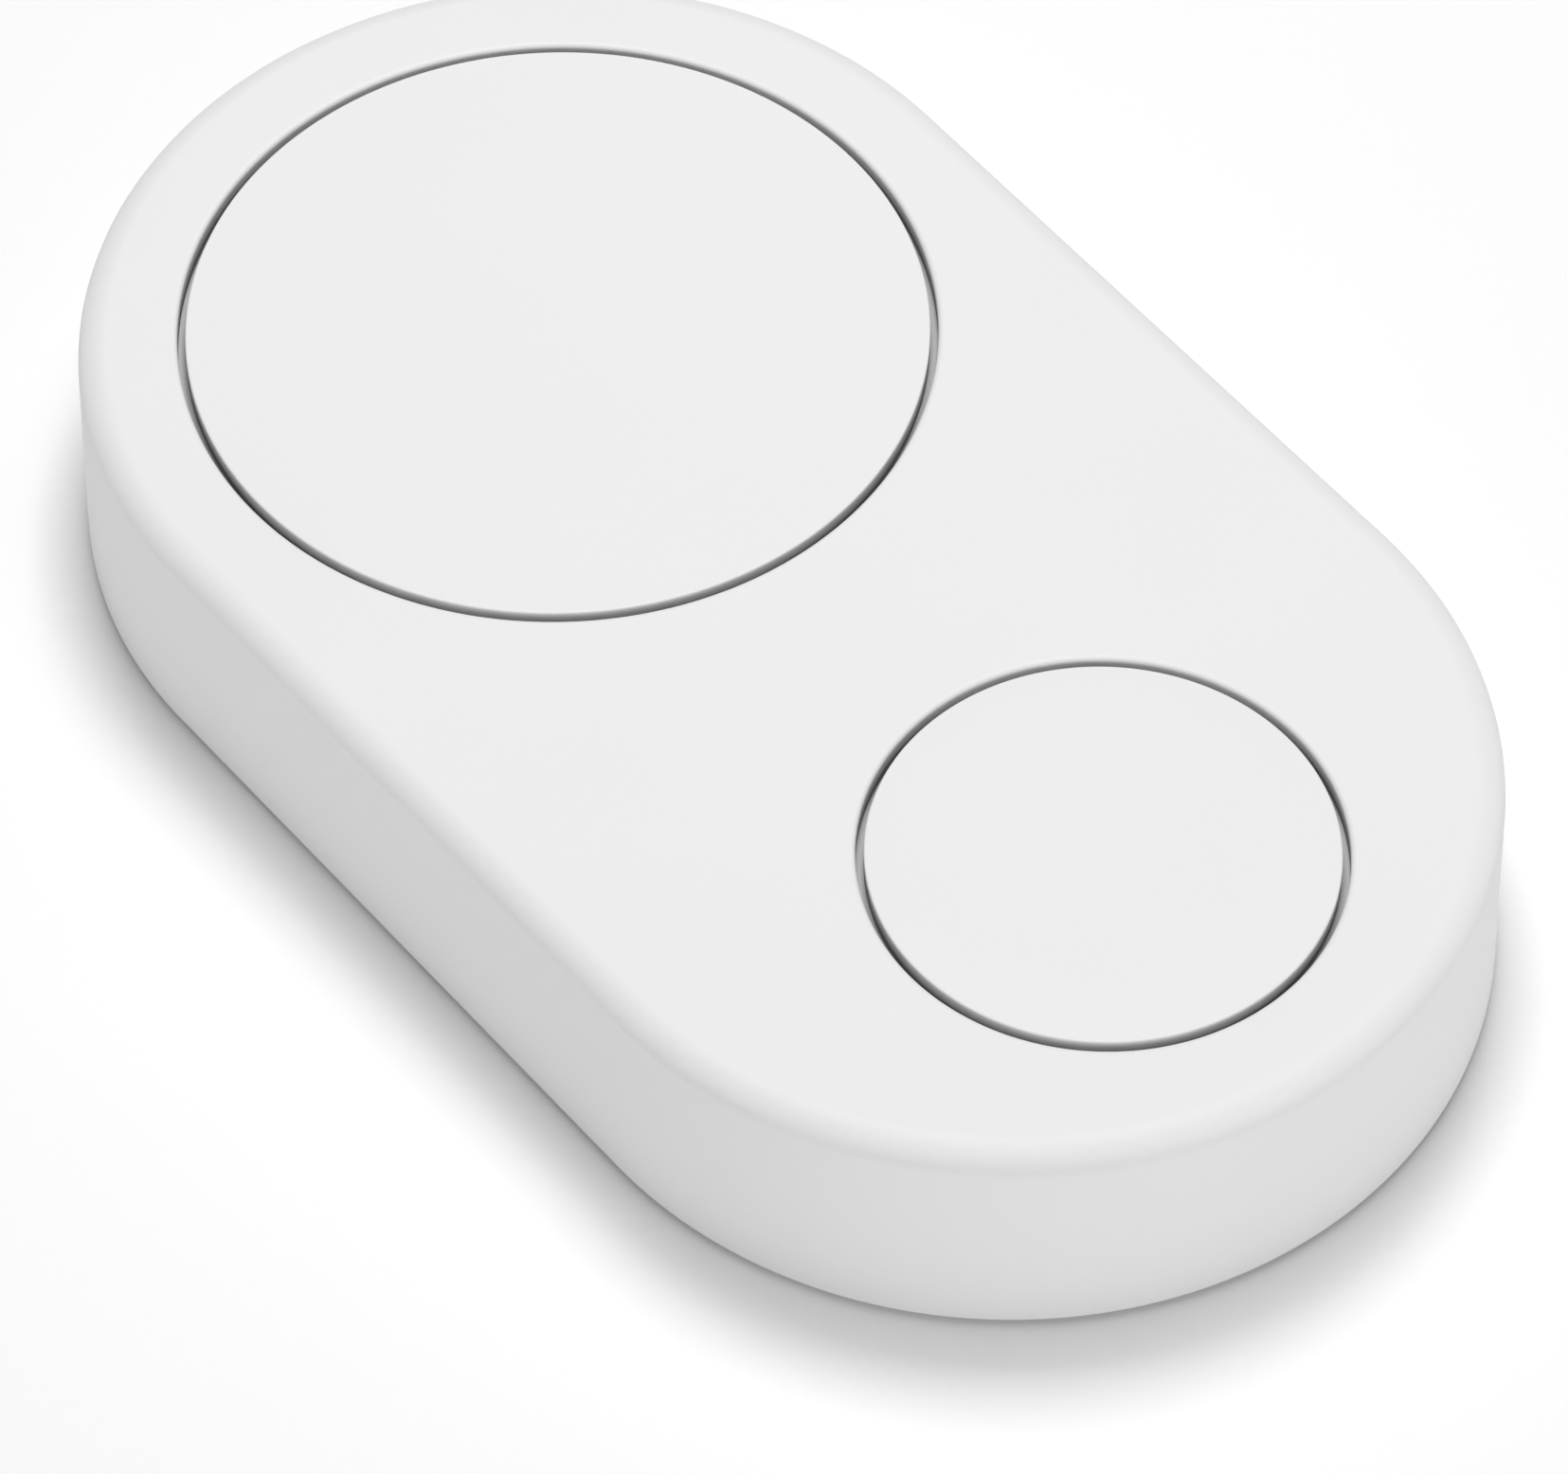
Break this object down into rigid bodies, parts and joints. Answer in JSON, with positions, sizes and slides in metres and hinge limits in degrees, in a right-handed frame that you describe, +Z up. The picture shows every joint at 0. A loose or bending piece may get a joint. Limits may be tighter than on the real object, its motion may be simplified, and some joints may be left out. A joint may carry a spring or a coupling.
{
  "type": "smart button",
  "caption": "Flat pill-shaped wireless button, white matte plastic, with a large and a small round press cap flush in the top and a coin-cell door below.",
  "frame": {"origin": "on the table under the middle of the body", "axes": "+X along the body from the large button's end to the small button's end, +Y across, +Z up"},
  "size_m": [0.061, 0.0352, 0.0094],
  "materials": {
    "housing_plastic": "fine spark-eroded moulding texture",
    "cap_plastic": "fine spark-eroded moulding texture",
    "base_plastic": "fine spark-eroded moulding texture",
    "door_plastic": "fine spark-eroded moulding texture",
    "grip_silicone": "matte moulded silicone",
    "return_silicone": "translucent moulded silicone",
    "seal_silicone": "moulded silicone",
    "cushion_foam": "closed-cell foam",
    "screw_steel": "nickel plated",
    "frame_plastic": "moulded, filled nylon",
    "solder_mask": "solder mask on glass laminate",
    "switch_plastic": "moulded",
    "plunger_plastic": "moulded",
    "switch_steel": "stamped stainless sheet",
    "lead_metal": "tinned",
    "cell_steel": "nickel plated, deep drawn",
    "cell_gasket": "moulded polypropylene",
    "cell_core": "pressed powder",
    "contact_metal": "plated spring sheet",
    "chip_resin": "moulded epoxy",
    "crystal_lid": "plated lid",
    "ceramic": "fired ceramic",
    "resistor_body": "glazed ceramic",
    "tantalum_resin": "moulded epoxy",
    "copper_track": "etched copper"
  },
  "bodies": {
    "housing": {"top_housing": "housing_plastic", "base_cover": "base_plastic", "grip_ring": "grip_silicone", "base_screws": "screw_steel", "inner_frame": "frame_plastic", "circuit_board": "solder_mask", "battery_can": "cell_steel", "battery_lid": "cell_steel", "battery_gasket": "cell_gasket", "battery_core": "cell_core", "positive_contact": "contact_metal", "negative_contact": "contact_metal", "radio_chip": "chip_resin", "crystals": "crystal_lid", "buffer_capacitor": "tantalum_resin", "ceramic_capacitors": "ceramic", "chip_resistors": "resistor_body", "antenna_track": "copper_track", "large_return_ring": "return_silicone", "large_switch_base": "switch_plastic", "large_switch_cover": "switch_steel", "large_switch_dome": "switch_steel", "large_switch_leads": "lead_metal", "small_return_ring": "return_silicone", "small_switch_base": "switch_plastic", "small_switch_cover": "switch_steel", "small_switch_dome": "switch_steel", "small_switch_leads": "lead_metal"},
    "large_button": {"large_button_cap": "cap_plastic"},
    "small_button": {"small_button_cap": "cap_plastic"},
    "large_switch": {"large_switch_plunger": "plunger_plastic"},
    "small_switch": {"small_switch_plunger": "plunger_plastic"},
    "battery_door": {"battery_door": "door_plastic", "door_seal": "seal_silicone", "cell_cushion": "cushion_foam"}
  },
  "joints": [
    {"name": "large_button_press", "type": "slide", "parent": "housing", "child": "large_button", "axis": [0, 0, -1], "range_m": [0, 0.0003], "stiffness_N_per_m": 2500, "springref_m": -0.0004, "deforming": ["large_return_ring"]},
    {"name": "small_button_press", "type": "slide", "parent": "housing", "child": "small_button", "axis": [0, 0, -1], "range_m": [0, 0.0003], "stiffness_N_per_m": 2500, "springref_m": -0.0004, "deforming": ["small_return_ring"]},
    {"name": "large_switch_press", "type": "slide", "parent": "housing", "child": "large_switch", "axis": [0, 0, -1], "range_m": [0, 0.0003], "deforming": ["large_switch_dome"]},
    {"name": "small_switch_press", "type": "slide", "parent": "housing", "child": "small_switch", "axis": [0, 0, -1], "range_m": [0, 0.0003], "deforming": ["small_switch_dome"]},
    {"name": "battery_door_turn", "type": "hinge", "parent": "housing", "child": "battery_door", "pos_m": [-0.01295, 0, 0.00145], "axis": [0, 0, -1], "range_deg": [0, 30]}
  ],
  "couplings": [
    {"joint": "large_switch_press", "follows": "large_button_press", "ratio": 1},
    {"joint": "small_switch_press", "follows": "small_button_press", "ratio": 1}
  ]
}
